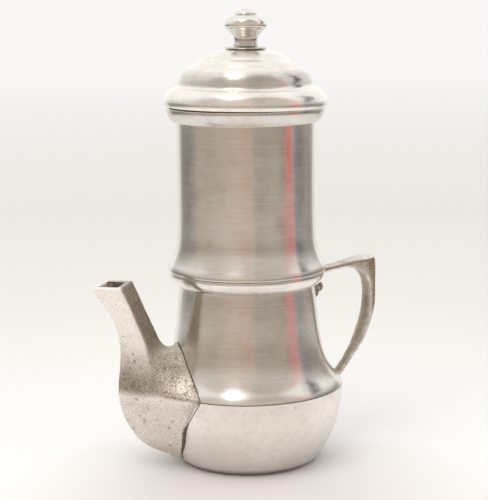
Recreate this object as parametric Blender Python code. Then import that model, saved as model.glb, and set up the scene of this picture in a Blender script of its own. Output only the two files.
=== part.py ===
"""Two-tier aluminium drip coffee pot: serving pot, filter chamber, water spreader and lid.

The pot's axis is +Z and its base stands on z = 0. The spout points along -X, the handle along +X.
Profiles are half sections (radius, height) in millimetres, turned about the axis.
"""
import math

import bmesh
import bpy

MM = 0.001
GAP = 0.3                     # clearance left between touching pieces
SEG = 40                      # facets of the large turned pieces
SEG_SMALL = 20                # facets of the knobs, screws and rivets
SMOOTH_ANGLE = math.radians(35.0)

# Serving pot
BASE_R = 38.6
BOWL_WALL = 1.4
GIRDLE_R = 57.3               # the widest ring, where bowl and shoulder meet
GIRDLE_Z = 47.2
NECK_R = 40.3
NECK_TOP_Z = 116.6
NECK_WALL = 1.2
COLLAR_R = 46.9
COLLAR_FOOT_Z = 108.2

# Filter chamber
CHAMBER_Z = NECK_TOP_Z + GAP
CHAMBER_TOP_Z = 213.8
CHAMBER_WALL = 1.1
SPIGOT_R = 38.6
SPIGOT_WALL = 1.2
SPIGOT_FOOT_Z = 105.0
PLATE_R = 43.0
PLATE_T = 1.2
PLATE_Z = 118.4
HOLE_R = 1.1
HOLE_SIDES = 8
HOLE_RINGS = ((1, 6), (2, 12), (3, 18))      # (ring number, holes in the ring)
PLATE_PITCH = 10.5

# Water spreader
SPREADER_R = 38.8
SPREADER_T = 1.0
SPREADER_SKIRT = 18.0
SPREADER_Z = PLATE_Z + PLATE_T + GAP
SPREADER_TOP_Z = SPREADER_Z + SPREADER_SKIRT + SPREADER_T
SPREADER_PITCH = 9.5
STEM_R = 2.2
STEM_TOP_Z = 168.0

# Lid
LID_Z = CHAMBER_TOP_Z + GAP
LID_CROWN_Z = 247.2
LID_WALL = 1.2
LID_HOLE_R = 2.6
SKIRT_R = 39.7
SKIRT_WALL = 1.1
SKIRT_FOOT_Z = 204.0
SKIRT_TOP_Z = 221.8
WASHER_R = 12.6
WASHER_T = 1.1
KNOB_Z = LID_CROWN_Z + GAP + WASHER_T + GAP
SCREW_R = 2.0
SCREW_HEAD_R = 4.4
SCREW_TOP_Z = 258.0
LOCK_R = 6.0
LOCK_T = 1.0

# Spout casting
SPOUT_WALL = 3.0
MITRE = 1.42                  # wall measured along a diagonal of the square section
KEEL_START_Z = 12.0           # the casting is solid below this height
SEAM_INSET = 1.2              # how far the flange runs into the pot before it is trimmed

# Handle
LUG_HALF = 3.0
RIVET_Z = 102.0
RIVET_R = 1.4
RIVET_HEAD_R = 2.6
RIVET_HEAD_T = 1.2
RIVET_SEAT = 0.7              # the flat head stands this far off the curved neck

# Outer half section of the bowl, from the base's edge up to the girdle
BOWL_OUTER = (
    (BASE_R, 0.0), (41.3, 1.4), (45.0, 5.6), (49.0, 12.4), (52.2, 19.6),
    (54.8, 27.0), (56.3, 35.4), (57.1, 42.4), (GIRDLE_R, GIRDLE_Z),
)
# Outer half section of the shoulder and neck, from the girdle up
SHOULDER_OUTER = (
    (57.2, 48.7), (55.3, 50.9), (52.4, 53.8), (49.9, 57.4), (47.2, 63.0),
    (45.1, 70.6), (43.4, 80.0), (42.2, 92.0), (41.1, 102.0), (NECK_R, 107.7),
)
COLLAR_OUTER = (
    (43.0, COLLAR_FOOT_Z + 0.5), (45.2, 110.8), (46.6, 113.3), (COLLAR_R, 115.3), (46.3, NECK_TOP_Z),
)
# Outer half section of the chamber, from its lower rim up
CHAMBER_OUTER = (
    (46.1, CHAMBER_Z), (47.2, 118.1), (46.7, 120.0), (44.9, 123.4), (43.2, 127.6),
    (41.9, 132.4), (41.2, 139.0), (41.0, 170.0), (41.2, CHAMBER_TOP_Z),
)
RIM_OUTER = (
    (42.6, 205.3), (44.8, 207.2), (46.2, 209.8), (46.9, 212.6), (46.2, CHAMBER_TOP_Z),
)
# Outer half section of the lid, from its crown down to the rolled rim
LID_OUTER = (
    (13.0, LID_CROWN_Z), (19.0, 245.6), (23.8, 243.1), (24.6, 242.2), (30.4, 239.0), (31.2, 238.0),
    (36.2, 233.6), (38.7, 230.0), (39.5, 227.4), (40.8, 225.6), (44.4, 224.2), (47.3, 221.7),
    (48.6, 218.3), (48.1, 215.8), (46.8, LID_Z),
)
LID_INNER = (
    (45.2, LID_Z), (46.6, 216.4), (47.2, 218.4), (46.1, 221.0), (43.6, 223.0), (40.2, 224.2),
    (38.4, 226.4), (37.5, 229.3), (35.2, 232.6), (29.8, 237.6), (18.6, 244.3), (12.6, 246.0),
)
KNOB_OUTER = (
    (7.4, KNOB_Z), (7.2, 250.3), (6.8, 251.1), (6.8, 253.4), (7.5, 255.0), (9.8, 257.6),
    (12.3, 260.0), (12.8, 261.6), (11.9, 264.2), (9.4, 266.4), (7.0, 267.1),
)
CAP_OUTER = ((6.6, 267.4), (5.9, 268.8), (3.8, 270.4))
CAP_TOP_Z = 271.0

# The prow below the girdle: keel (r, z) and the angle from the spout's direction, in degrees, at
# which its two flat faces run into the bowl.
PROW_BELOW_GIRDLE = (
    (49.0, 5.6, 9.0), (59.0, 10.6, 14.0), (66.6, 15.4, 18.8), (71.4, 20.2, 22.4),
    (76.0, 27.2, 26.2), (79.5, 35.0, 32.0), (81.6, 43.0, 37.6),
)
# Slices of the casting above it: keel (r, z), side ridge (r, half width, z), seam or inner ridge
# (r, half width, z), the point that closes the slice at the back (r, z), and the way the inner
# ridge faces, in degrees up from level. The slices with no such angle end inside the pot.
SPOUT_UPPER = (
    ((81.9, 47.4), (61.0, 22.0, 47.4), (43.9, 36.9, 47.4), (20.0, 47.4), None),
    ((82.0, 51.0), (63.2, 19.6, 51.0), (43.8, 33.6, 51.0), (20.0, 51.0), None),
    ((81.6, 56.0), (65.0, 17.2, 56.0), (43.4, 26.2, 56.0), (20.0, 56.0), None),
    ((80.7, 64.0), (66.2, 15.2, 64.0), (43.8, 16.2, 64.0), (20.0, 64.0), None),
    ((80.2, 71.5), (67.3, 13.9, 71.5), (44.2, 7.6, 71.5), (43.0, 75.2), 90.0),
    ((80.2, 73.6), (67.6, 13.6, 73.6), (50.6, 2.6, 72.6), (50.2, 73.2), 80.0),
    ((80.4, 76.2), (68.0, 13.2, 76.2), (54.9, 1.4, 75.6), (54.4, 75.9), 50.0),
    ((80.9, 79.6), (68.9, 12.9, 79.6), (57.2, 1.2, 79.4), (56.6, 79.5), 25.0),
    ((82.3, 86.4), (71.4, 12.2, 86.6), (60.5, 1.0, 86.8), (59.7, 86.8), 12.0),
    ((85.3, 93.6), (74.4, 11.9, 94.0), (64.0, 1.0, 94.4), (63.2, 94.4), 6.0),
    ((89.6, 101.2), (77.6, 12.4, 101.8), (67.4, 1.0, 102.6), (66.6, 102.6), 3.0),
    ((93.6, 106.8), (80.6, 13.2, 107.6), (70.0, 1.0, 108.6), (69.2, 108.6), 0.0),
    ((96.9, 112.4), (83.4, 14.2, 113.4), (72.8, 1.0, 114.4), (71.9, 114.4), 0.0),
)
MOUTH_RUN_OUT = (1.3, 3.4)    # the bore is carried on past the mouth by this step (r, z)

# Handle web and grip: outer edge (r, z), inner edge (r, z), half width
HANDLE_STATIONS = (
    ((46.0, 113.6), (46.0, 109.6), 3.2),
    ((52.0, 113.8), (52.0, 110.7), 3.0),
    ((58.0, 114.6), (58.4, 112.1), 3.0),
    ((64.0, 115.8), (64.5, 112.9), 3.6),
    ((70.0, 116.9), (69.6, 112.2), 4.6),
    ((76.4, 117.8), (73.2, 110.4), 5.6),
    ((82.0, 118.3), (76.0, 107.8), 6.2),
    ((82.8, 112.0), (77.9, 104.6), 6.4),
    ((82.8, 104.0), (79.0, 100.4), 6.5),
    ((82.7, 92.0), (79.3, 91.4), 6.7),
    ((81.4, 84.0), (78.5, 83.6), 6.9),
    ((79.3, 76.4), (76.6, 76.8), 6.8),
    ((75.2, 66.6), (73.0, 67.6), 6.2),
    ((71.5, 60.6), (69.7, 61.6), 5.4),
    ((67.5, 54.8), (66.0, 55.9), 4.8),
    ((62.3, 47.6), (60.9, 49.2), 4.5),
    ((54.5, 38.6), (52.6, 40.6), 4.3),
)
# Thumb leaf on top of the handle: position (r, z of the upper face), half width, thickness
LEAF_STATIONS = (
    ((46.0, 114.4), 5.0, 1.4), ((52.0, 114.6), 4.3, 1.4), ((58.0, 115.5), 4.1, 1.6),
    ((64.0, 116.8), 4.6, 1.8), ((70.0, 117.9), 5.9, 1.7), ((76.0, 118.6), 7.1, 1.4),
    ((80.0, 118.9), 6.7, 1.2), ((82.8, 119.0), 4.2, 1.0),
)
LUG_SECTION = (
    (41.0, 106.0), (45.6, 106.2), (48.2, 104.6), (48.4, 100.2), (46.2, 99.2),
    (45.8, 97.4), (44.2, 95.4), (41.0, 95.8),
)
STRAINER_HOLES = ((20.0, 3, 13.0), (28.0, 4, 12.0), (36.0, 3, 13.0))   # height, count, step in degrees
STRAINER_R = 2.0


def clear_scene():
    """Remove every object that is in the scene."""
    for obj in list(bpy.data.objects):
        bpy.data.objects.remove(obj, do_unlink=True)


def make_material(name, colour, roughness, metallic=1.0):
    """A plain metal for one piece."""
    mat = bpy.data.materials.new(name)
    mat.use_nodes = True
    shader = mat.node_tree.nodes["Principled BSDF"]
    shader.inputs["Base Color"].default_value = (*colour, 1.0)
    shader.inputs["Roughness"].default_value = roughness
    shader.inputs["Metallic"].default_value = metallic
    return mat


def finish_mesh(name, bm, material):
    """Turn a bmesh into a named, smooth-shaded object with its own material."""
    bmesh.ops.recalc_face_normals(bm, faces=bm.faces)
    mesh = bpy.data.meshes.new(name)
    bm.to_mesh(mesh)
    bm.free()
    obj = bpy.data.objects.new(name, mesh)
    bpy.context.collection.objects.link(obj)
    if material:
        mesh.materials.append(material)
    mesh.shade_smooth()
    mesh.set_sharp_from_angle(angle=SMOOTH_ANGLE)
    return obj


def turned(name, section, material, closed=True, steps=SEG):
    """Spin a half section about Z. An open section starts and ends on the axis."""
    bm = bmesh.new()
    verts = [bm.verts.new((r * MM, 0.0, z * MM)) for r, z in section]
    edges = [bm.edges.new(pair) for pair in zip(verts, verts[1:])]
    if closed:
        edges.append(bm.edges.new((verts[-1], verts[0])))
    bmesh.ops.spin(bm, geom=verts + edges, cent=(0, 0, 0), axis=(0, 0, 1),
                   angle=2.0 * math.pi, steps=steps, use_merge=True)
    bmesh.ops.remove_doubles(bm, verts=bm.verts, dist=1e-6)
    bmesh.ops.dissolve_degenerate(bm, edges=bm.edges, dist=1e-7)
    return finish_mesh(name, bm, material)


def loft(name, rings, material):
    """Join equal rings of points with triangles and close both ends."""
    bm = bmesh.new()
    loops = [[bm.verts.new((x * MM, y * MM, z * MM)) for x, y, z in ring] for ring in rings]
    for lower, upper in zip(loops, loops[1:]):
        count = len(lower)
        for i in range(count):
            j = (i + 1) % count
            bm.faces.new((lower[i], lower[j], upper[j], upper[i]))
    bm.faces.new(loops[0][::-1])
    bm.faces.new(loops[-1])
    bmesh.ops.triangulate(bm, faces=bm.faces)
    return finish_mesh(name, bm, material)


def rods(name, ends, radius, steps):
    """Closed round rods between pairs of points (mm), all in one cutter or piece."""
    bm = bmesh.new()
    for start, end in ends:
        run = [b - a for a, b in zip(start, end)]
        length = math.sqrt(sum(v * v for v in run))
        made = bmesh.ops.create_cone(bm, cap_ends=True, segments=steps, radius1=radius * MM,
                                     radius2=radius * MM, depth=length * MM)
        tilt = math.acos(run[2] / length)
        turn = math.atan2(run[1], run[0])
        for vert in made["verts"]:
            x, y, z = vert.co
            x, z = x * math.cos(tilt) + z * math.sin(tilt), -x * math.sin(tilt) + z * math.cos(tilt)
            x, y = x * math.cos(turn) - y * math.sin(turn), x * math.sin(turn) + y * math.cos(turn)
            vert.co = [v + (a + b) * MM / 2 for v, a, b in zip((x, y, z), start, end)]
    return finish_mesh(name, bm, None)


def cutter(obj):
    """Keep a cutting shape out of the model."""
    obj.hide_render = True
    obj.display_type = "WIRE"
    return obj


def boolean(obj, tool, operation):
    """Add an exact boolean to a piece."""
    mod = obj.modifiers.new(operation.lower() + "_" + tool.name, "BOOLEAN")
    mod.operation = operation
    mod.solver = "EXACT"
    mod.object = tool
    return obj


def shifted(section, step_r, step_z=0.0):
    """Move every point of a half section."""
    return [(r + step_r, z + step_z) for r, z in section]


def interpolate(section, z):
    """Radius of a half section at a height."""
    for (r0, z0), (r1, z1) in zip(section, section[1:]):
        if z0 <= z <= z1:
            return r0 + (r1 - r0) * (z - z0) / (z1 - z0)
    return section[-1][0]


def build_pot(mats):
    """Bowl, shoulder with its neck, and the rolled collar."""
    inner = shifted(BOWL_OUTER, -BOWL_WALL)[::-1][:-1]
    bowl = turned("lower_bowl", [(0.0, 0.0), *BOWL_OUTER, *inner, (BASE_R - BOWL_WALL, BOWL_WALL),
                                 (0.0, BOWL_WALL)], mats["bowl"], closed=False)
    ends = []
    for height, count, step in STRAINER_HOLES:
        for i in range(count):
            turn = math.pi + math.radians(step * (i - (count - 1) / 2))
            near = (45.0 * math.cos(turn), 45.0 * math.sin(turn), height)
            far = (62.0 * math.cos(turn), 62.0 * math.sin(turn), height)
            ends.append((near, far))
    boolean(bowl, cutter(rods("strainer_cutter", ends, STRAINER_R, HOLE_SIDES)), "DIFFERENCE")

    lip_r = GIRDLE_R - BOWL_WALL - GAP
    outer = [(GIRDLE_R, GIRDLE_Z + GAP), *SHOULDER_OUTER, (NECK_R, NECK_TOP_Z)]
    inner = [(r - NECK_WALL, z) for r, z in SHOULDER_OUTER[1:]][::-1]
    section = [*outer, (NECK_R - NECK_WALL, NECK_TOP_Z), *inner, (lip_r - NECK_WALL, 49.0),
               (lip_r - 1.6, 43.4), (lip_r - 0.5, 43.4), (lip_r, GIRDLE_Z + GAP)]
    shoulder = turned("pot_shoulder", section, mats["shoulder"])
    collar = [(NECK_R + GAP, COLLAR_FOOT_Z), *COLLAR_OUTER, (NECK_R + GAP, NECK_TOP_Z)]
    turned("collar_ring", collar, mats["collar"])
    return shoulder


def pot_envelope():
    """Closed outside of the serving pot plus the clearance, used to trim what is fixed on it."""
    outer = [*BOWL_OUTER, *SHOULDER_OUTER, (NECK_R, COLLAR_FOOT_Z), *COLLAR_OUTER]
    grown = [(0.0, -2.0), (BASE_R + GAP, -2.0), *shifted(outer, GAP), (46.3 + GAP, 125.0), (0.0, 125.0)]
    return cutter(turned("pot_envelope", grown, None, closed=False))


def spout_slices(wall):
    """Rings of the spout casting, or of its bore when a wall is given."""
    rings = []
    diagonal = wall * MITRE
    for keel, z, degrees in PROW_BELOW_GIRDLE:
        if wall and z < KEEL_START_Z:
            continue
        bowl_r = interpolate(BOWL_OUTER, z)
        touch = math.radians(degrees)
        seam_r, seam_h = bowl_r * math.cos(touch), bowl_r * math.sin(touch)
        mid_r, mid_h = (keel + seam_r) / 2, seam_h / 2
        rings.append(slice_ring((keel - diagonal, z), (mid_r, mid_h - diagonal, z),
                                (seam_r - diagonal, seam_h - diagonal, z), (20.0, z)))
    for keel, side, seam, back, lean in SPOUT_UPPER:
        inset = min(diagonal, seam[1] - 0.6) if wall else 0.0
        if lean is None:
            step, drop = -inset, 0.0
            ends = back
        else:
            step = diagonal * math.cos(math.radians(lean))
            drop = diagonal * math.sin(math.radians(lean))
            ends = (back[0] + step, back[1] - drop)
        rings.append(slice_ring((keel[0] - diagonal, keel[1]), (side[0], side[1] - diagonal, side[2]),
                                (seam[0] + step, seam[1] - inset, seam[2] - drop), ends))
    if wall:
        rings.append([(x - MOUTH_RUN_OUT[0], y, z + MOUTH_RUN_OUT[1]) for x, y, z in rings[-1]])
    return rings


def slice_ring(keel, side, seam, back):
    """Six points of a slice; the spout runs along -X."""
    return [
        (-keel[0], 0.0, keel[1]),
        (-side[0], -side[1], side[2]),
        (-seam[0], -seam[1], seam[2]),
        (-back[0], 0.0, back[1]),
        (-seam[0], seam[1], seam[2]),
        (-side[0], side[1], side[2]),
    ]


def build_spout(mats, envelope):
    """Hollow casting of square section that grows out of the bowl as a keeled prow."""
    spout = loft("spout_casting", spout_slices(0.0), mats["spout"])
    bore = cutter(loft("spout_bore", spout_slices(SPOUT_WALL), None))
    boolean(spout, bore, "DIFFERENCE")
    boolean(spout, envelope, "DIFFERENCE")


def station_ring(outer, inner, half):
    """Rectangle across the handle with its corners cut."""
    cut = 0.25
    (r0, z0), (r1, z1) = outer, inner
    a = (r0 + (r1 - r0) * cut, z0 + (z1 - z0) * cut)
    b = (r0 + (r1 - r0) * (1 - cut), z0 + (z1 - z0) * (1 - cut))
    soft = half * 0.86
    return [
        (r0, -soft, z0), (a[0], -half, a[1]), (b[0], -half, b[1]), (r1, -soft, z1),
        (r1, soft, z1), (b[0], half, b[1]), (a[0], half, a[1]), (r0, soft, z0),
    ]


def build_handle(mats, envelope):
    """Cast strap handle with a thumb leaf, its lug below the collar and the lug's rivet."""
    handle = loft("handle_casting", [station_ring(*s) for s in HANDLE_STATIONS], mats["handle"])
    leaf_rings = []
    for (r, z), half, thick in LEAF_STATIONS:
        low = z - thick
        leaf_rings.append([(r, -half, low), (r, -half, z - 0.5), (r, -half * 0.8, z),
                           (r, half * 0.8, z), (r, half, z - 0.5), (r, half, low)])
    leaf = cutter(loft("thumb_leaf", leaf_rings, None))
    boolean(handle, leaf, "UNION")
    boolean(handle, envelope, "DIFFERENCE")

    rings = [[(r, y, z) for r, z in LUG_SECTION] for y in (-LUG_HALF, LUG_HALF)]
    lug = loft("handle_lug", rings, mats["lug"])
    boolean(lug, envelope, "DIFFERENCE")
    return lug


def build_rivet(mats, lug, shoulder):
    """Rivet through the lug and the neck, with a head on each side."""
    outer_face = LUG_SECTION[2][0] + GAP
    inner_face = interpolate(SHOULDER_OUTER, RIVET_Z) - NECK_WALL - RIVET_SEAT
    head = RIVET_HEAD_T
    section = [
        (0.0, inner_face - head), (RIVET_HEAD_R * 0.8, inner_face - head), (RIVET_HEAD_R, inner_face - 0.3),
        (RIVET_HEAD_R, inner_face), (RIVET_R, inner_face), (RIVET_R, outer_face),
        (RIVET_HEAD_R, outer_face), (RIVET_HEAD_R, outer_face + 0.4),
        (RIVET_HEAD_R * 0.7, outer_face + head), (0.0, outer_face + head),
    ]
    rivet = turned("lug_rivet", section, mats["rivet"], closed=False, steps=SEG_SMALL)
    rivet.rotation_euler = (0.0, math.pi / 2, 0.0)
    rivet.location = (0.0, 0.0, RIVET_Z * MM)
    hole = cutter(rods("rivet_cutter", [((30.0, 0.0, RIVET_Z), (60.0, 0.0, RIVET_Z))],
                       RIVET_R + GAP, SEG_SMALL))
    boolean(lug, hole, "DIFFERENCE")
    boolean(shoulder, hole, "DIFFERENCE")


def perforations(name, low, high, pitch, centre_hole):
    """Cutter for rings of small round holes between two heights."""
    ends = []
    if centre_hole:
        ends.append(((0.0, 0.0, low), (0.0, 0.0, high)))
    for ring, count in HOLE_RINGS:
        for i in range(count):
            turn = 2.0 * math.pi * i / count
            x, y = ring * pitch * math.cos(turn), ring * pitch * math.sin(turn)
            ends.append(((x, y, low), (x, y, high)))
    return cutter(rods(name, ends, HOLE_R, HOLE_SIDES))


def build_chamber(mats):
    """Spun chamber with its rim, spigot, perforated floor and the ring that holds the floor."""
    outer = list(CHAMBER_OUTER)
    inner = [(r - CHAMBER_WALL, z) for r, z in CHAMBER_OUTER[1:]][::-1]
    turned("chamber_shell", [*outer, *inner, (CHAMBER_OUTER[0][0] - CHAMBER_WALL, CHAMBER_Z)],
           mats["chamber"])
    rim_r = 41.2 + GAP
    turned("chamber_rim", [(rim_r, 205.0), *RIM_OUTER, (rim_r, CHAMBER_TOP_Z)], mats["rim"])

    flange_r = CHAMBER_OUTER[0][0] - CHAMBER_WALL - GAP
    bore_r = SPIGOT_R - SPIGOT_WALL
    turned("chamber_spigot", [
        (bore_r, SPIGOT_FOOT_Z), (SPIGOT_R - 0.5, SPIGOT_FOOT_Z), (SPIGOT_R, SPIGOT_FOOT_Z + 1.0),
        (SPIGOT_R, CHAMBER_Z), (flange_r, CHAMBER_Z), (flange_r, PLATE_Z - GAP), (bore_r, PLATE_Z - GAP),
    ], mats["spigot"])

    top = PLATE_Z + PLATE_T
    plate = turned("filter_plate", [(0.0, PLATE_Z), (PLATE_R, PLATE_Z), (PLATE_R, top), (0.0, top)],
                   mats["plate"], closed=False)
    boolean(plate, perforations("plate_cutter", PLATE_Z - 2.0, top + 2.0, PLATE_PITCH, True), "DIFFERENCE")

    seat = top + GAP
    turned("filter_retainer", [(41.4, seat), (44.6, seat), (43.2, seat + 3.0), (41.4, seat + 3.0)],
           mats["retainer"])


def build_spreader(mats):
    """Loose perforated spreader with a skirt, a stem riveted through it and a small knob."""
    low = SPREADER_TOP_Z - SPREADER_T
    wall_r = SPREADER_R - SPREADER_T
    plate = turned("spreader_plate", [
        (0.0, low), (wall_r, low), (wall_r, SPREADER_Z), (SPREADER_R, SPREADER_Z),
        (SPREADER_R, SPREADER_TOP_Z - 0.8), (SPREADER_R - 0.8, SPREADER_TOP_Z), (0.0, SPREADER_TOP_Z),
    ], mats["spreader"], closed=False)
    boolean(plate, perforations("spreader_cutter", low - 2.0, low + 4.0, SPREADER_PITCH, False), "DIFFERENCE")
    bore = rods("stem_cutter", [((0.0, 0.0, low - 3.0), (0.0, 0.0, low + 5.0))], STEM_R - 0.6 + GAP, SEG_SMALL)
    boolean(plate, cutter(bore), "DIFFERENCE")

    tail_r = STEM_R - 0.6
    head_low = low - GAP
    shoulder_z = SPREADER_TOP_Z + GAP
    turned("spreader_stem", [
        (0.0, head_low - 1.0), (3.4, head_low - 1.0), (3.4, head_low), (tail_r, head_low),
        (tail_r, shoulder_z), (4.0, shoulder_z), (4.0, shoulder_z + 1.2), (STEM_R, shoulder_z + 2.2),
        (STEM_R, STEM_TOP_Z), (0.0, STEM_TOP_Z),
    ], mats["stem"], closed=False, steps=SEG_SMALL)

    grip = STEM_R + GAP
    turned("spreader_knob", [
        (grip, STEM_TOP_Z - 6.0), (4.2, STEM_TOP_Z - 6.0), (4.6, STEM_TOP_Z - 3.6), (7.0, STEM_TOP_Z - 0.6),
        (7.6, STEM_TOP_Z + 2.2), (6.2, STEM_TOP_Z + 4.4), (3.0, STEM_TOP_Z + 5.4), (0.0, STEM_TOP_Z + 5.6),
        (0.0, STEM_TOP_Z + GAP), (grip, STEM_TOP_Z + GAP),
    ], mats["spreader_knob"], closed=True, steps=SEG_SMALL)


def build_lid(mats):
    """Stepped dome with a rolled rim, its locating skirt, and the knob with its fastening."""
    crown_low = LID_CROWN_Z - LID_WALL
    turned("lid_shell", [(LID_HOLE_R, LID_CROWN_Z), *LID_OUTER, *LID_INNER, (LID_HOLE_R, crown_low)],
           mats["lid"])
    turned("lid_skirt", [
        (SKIRT_R - SKIRT_WALL, SKIRT_FOOT_Z), (SKIRT_R - 0.4, SKIRT_FOOT_Z), (SKIRT_R, SKIRT_FOOT_Z + 1.2),
        (SKIRT_R, SKIRT_TOP_Z), (SKIRT_R - SKIRT_WALL, SKIRT_TOP_Z),
    ], mats["skirt"])

    low = LID_CROWN_Z + GAP
    turned("knob_washer", [(LID_HOLE_R, low), (WASHER_R, low), (WASHER_R, low + WASHER_T),
                           (LID_HOLE_R, low + WASHER_T)], mats["washer"], steps=SEG)
    thread_r = SCREW_R + GAP
    ceiling = SCREW_TOP_Z + 1.0
    turned("knob_body", [
        (thread_r, KNOB_Z), *KNOB_OUTER, (0.0, KNOB_OUTER[-1][1]), (0.0, ceiling), (thread_r, ceiling),
    ], mats["knob"], steps=SEG_SMALL)
    turned("knob_cap", [(0.0, CAP_OUTER[0][1]), *CAP_OUTER, (0.0, CAP_TOP_Z)],
           mats["cap"], closed=False, steps=SEG_SMALL)

    lock_top = crown_low - GAP
    lock_low = lock_top - LOCK_T
    turned("lock_washer", [(LID_HOLE_R, lock_low), (LOCK_R, lock_low), (LOCK_R, lock_top),
                           (LID_HOLE_R, lock_top)], mats["lock"], steps=SEG_SMALL)
    head_top = lock_low - GAP
    turned("knob_screw", [
        (0.0, head_top - 2.2), (SCREW_HEAD_R * 0.7, head_top - 2.2), (SCREW_HEAD_R, head_top - 1.0),
        (SCREW_HEAD_R, head_top), (SCREW_R, head_top), (SCREW_R, SCREW_TOP_Z), (0.0, SCREW_TOP_Z),
    ], mats["screw"], closed=False, steps=SEG_SMALL)


def pot_materials():
    """Aluminium in the finishes the pieces show: spun, satin, cast and turned."""
    spun = (0.60, 0.58, 0.56)
    satin = (0.66, 0.63, 0.60)
    cast = (0.50, 0.46, 0.41)
    looks = {
        "bowl": (satin, 0.45), "shoulder": (spun, 0.25), "collar": (spun, 0.22), "spout": (cast, 0.50),
        "handle": (cast, 0.48), "lug": ((0.38, 0.34, 0.30), 0.60), "rivet": (cast, 0.40),
        "chamber": (spun, 0.24), "rim": (spun, 0.22), "spigot": (satin, 0.35), "plate": (satin, 0.35),
        "retainer": (satin, 0.38), "spreader": (satin, 0.32), "stem": (satin, 0.30),
        "spreader_knob": (spun, 0.28), "lid": (spun, 0.20), "skirt": (satin, 0.34),
        "washer": (spun, 0.24), "knob": (spun, 0.18), "cap": (spun, 0.20),
        "lock": ((0.45, 0.44, 0.43), 0.40), "screw": ((0.45, 0.44, 0.43), 0.38),
    }
    return {key: make_material(key + "_metal", colour, rough) for key, (colour, rough) in looks.items()}


def main():
    """Build the whole pot."""
    clear_scene()
    mats = pot_materials()
    shoulder = build_pot(mats)
    envelope = pot_envelope()
    build_spout(mats, envelope)
    lug = build_handle(mats, envelope)
    build_rivet(mats, lug, shoulder)
    build_chamber(mats)
    build_spreader(mats)
    build_lid(mats)


main()
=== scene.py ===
"""Looks of the two-tier aluminium drip coffee pot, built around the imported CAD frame.

Sizes are millimetres unless a name says otherwise; MM turns them into metres. The pot's axis is +Z,
the spout points along -X and the handle along +X.
"""
import math

import bmesh
import bpy
from mathutils import Matrix, Vector, noise
from mathutils.geometry import intersect_point_line


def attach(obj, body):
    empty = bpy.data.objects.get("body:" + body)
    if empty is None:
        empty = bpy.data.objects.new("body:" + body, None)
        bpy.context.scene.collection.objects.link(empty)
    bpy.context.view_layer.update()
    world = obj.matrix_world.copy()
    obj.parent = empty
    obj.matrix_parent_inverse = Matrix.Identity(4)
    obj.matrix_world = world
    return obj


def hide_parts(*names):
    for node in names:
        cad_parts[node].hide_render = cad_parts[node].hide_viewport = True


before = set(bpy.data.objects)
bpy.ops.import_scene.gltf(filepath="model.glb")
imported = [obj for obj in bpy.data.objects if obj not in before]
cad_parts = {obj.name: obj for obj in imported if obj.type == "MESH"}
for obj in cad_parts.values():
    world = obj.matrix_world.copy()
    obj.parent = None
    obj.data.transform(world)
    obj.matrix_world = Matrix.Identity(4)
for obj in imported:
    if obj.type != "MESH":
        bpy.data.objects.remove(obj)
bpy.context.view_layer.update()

MM = 0.001
TURNS = 176  # facets of the turned pieces
FINE_TURNS = 72  # facets of the small turned pieces
RIVET_TURNS = 32
CRISP = 0.35  # rounding left on a crisp edge
CORNER_STEPS = 5  # points on each rounded corner of an outline
SHEET_SMOOTH = 40  # degrees; steeper edges than this shade sharp
CAST_SMOOTH = 50  # the same for a casting, smooth across its soft creases
TINY = 1e-6

# Driving sizes, as in the CAD
BASE_R, BOWL_WALL = 38.6, 1.4
GIRDLE_R, GIRDLE_Z = 57.3, 47.2
NECK_R, NECK_TOP_Z, NECK_WALL = 40.3, 116.6, 1.2
GAP = 0.3
CHAMBER_Z = NECK_TOP_Z + GAP
CHAMBER_TOP_Z, CHAMBER_WALL = 213.8, 1.1
LID_Z, LID_CROWN_Z = CHAMBER_TOP_Z + GAP, 247.2
KNOB_Z = LID_CROWN_Z + 1.7
CAP_TOP_Z = 271
SPOUT_WALL = 3
SPREADER_TOP_Z, STEM_TOP_Z = 138.9, 168

# The camera stands this far round from straight on to the handle's side
CAMERA_AZIMUTH = math.radians(-21)
CAMERA_ELEVATION = 9.9
CAMERA_DISTANCE = 900
CAMERA_ROLL = math.radians(-0.5)
CAMERA_AIM = (-1.6, 127.9)  # sideways and up, what the picture's centre shows
CAMERA_LENS, CAMERA_SENSOR = 108, 36
CAMERA_CLIP = (0.05, 200)

BOWL_OUTER = (
    (BASE_R, 0, 0.9), (41.4, 1.2), (45, 5.2), (49, 12), (52.3, 19.6),
    (54.9, 27), (56.4, 35), (57.2, 42), (GIRDLE_R, GIRDLE_Z, CRISP),
)
SHOULDER_OUTER = (
    (56.7, 48.7), (55.3, 50.8), (52.4, 53.6), (49.9, 57.2), (47.1, 63),
    (45, 70.6), (43.4, 80), (42.2, 92), (41.1, 102), (NECK_R, 107.7),
)
COLLAR_OUTER = (
    (42.4, 108.3), (45.1, 110), (46.7, 112.9), (47, 115.2), (46.7, NECK_TOP_Z, 0.4),
)
CHAMBER_OUTER = (
    (46.9, CHAMBER_Z, 0.3), (47.35, 117.3), (46.9, 119.8), (44.9, 123.2), (43.1, 127.6),
    (41.8, 132.4), (41.15, 139), (41, 170), (41.2, CHAMBER_TOP_Z, CRISP),
)
RIM_OUTER = (
    (42.6, 205.3), (44.8, 207.2), (46.2, 209.8), (47, 212), (46.9, CHAMBER_TOP_Z, 0.4),
)
LID_OUTER = (
    (13, LID_CROWN_Z), (19, 245.6), (23.8, 243.1), (24.6, 242.2, 0.8), (27.6, 241), (30.4, 239),
    (31.2, 238, 0.9), (34.3, 236.3), (37, 233.6), (38.9, 230.3), (39.5, 227.2), (40.7, 225.7, 1),
    (44.4, 224.2), (47.3, 221.7), (48.6, 218), (48.55, 215.9), (47.8, LID_Z, 0.3),
)
LID_INNER = (
    (45.2, LID_Z, 0.3), (46.6, 216.4), (47.2, 218.4), (46.1, 221), (43.6, 223), (40.2, 224.2),
    (38.4, 226.4), (37.5, 229.3), (35.2, 232.6), (29.8, 237.6), (18.6, 244.3), (12.6, 246),
)
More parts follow.
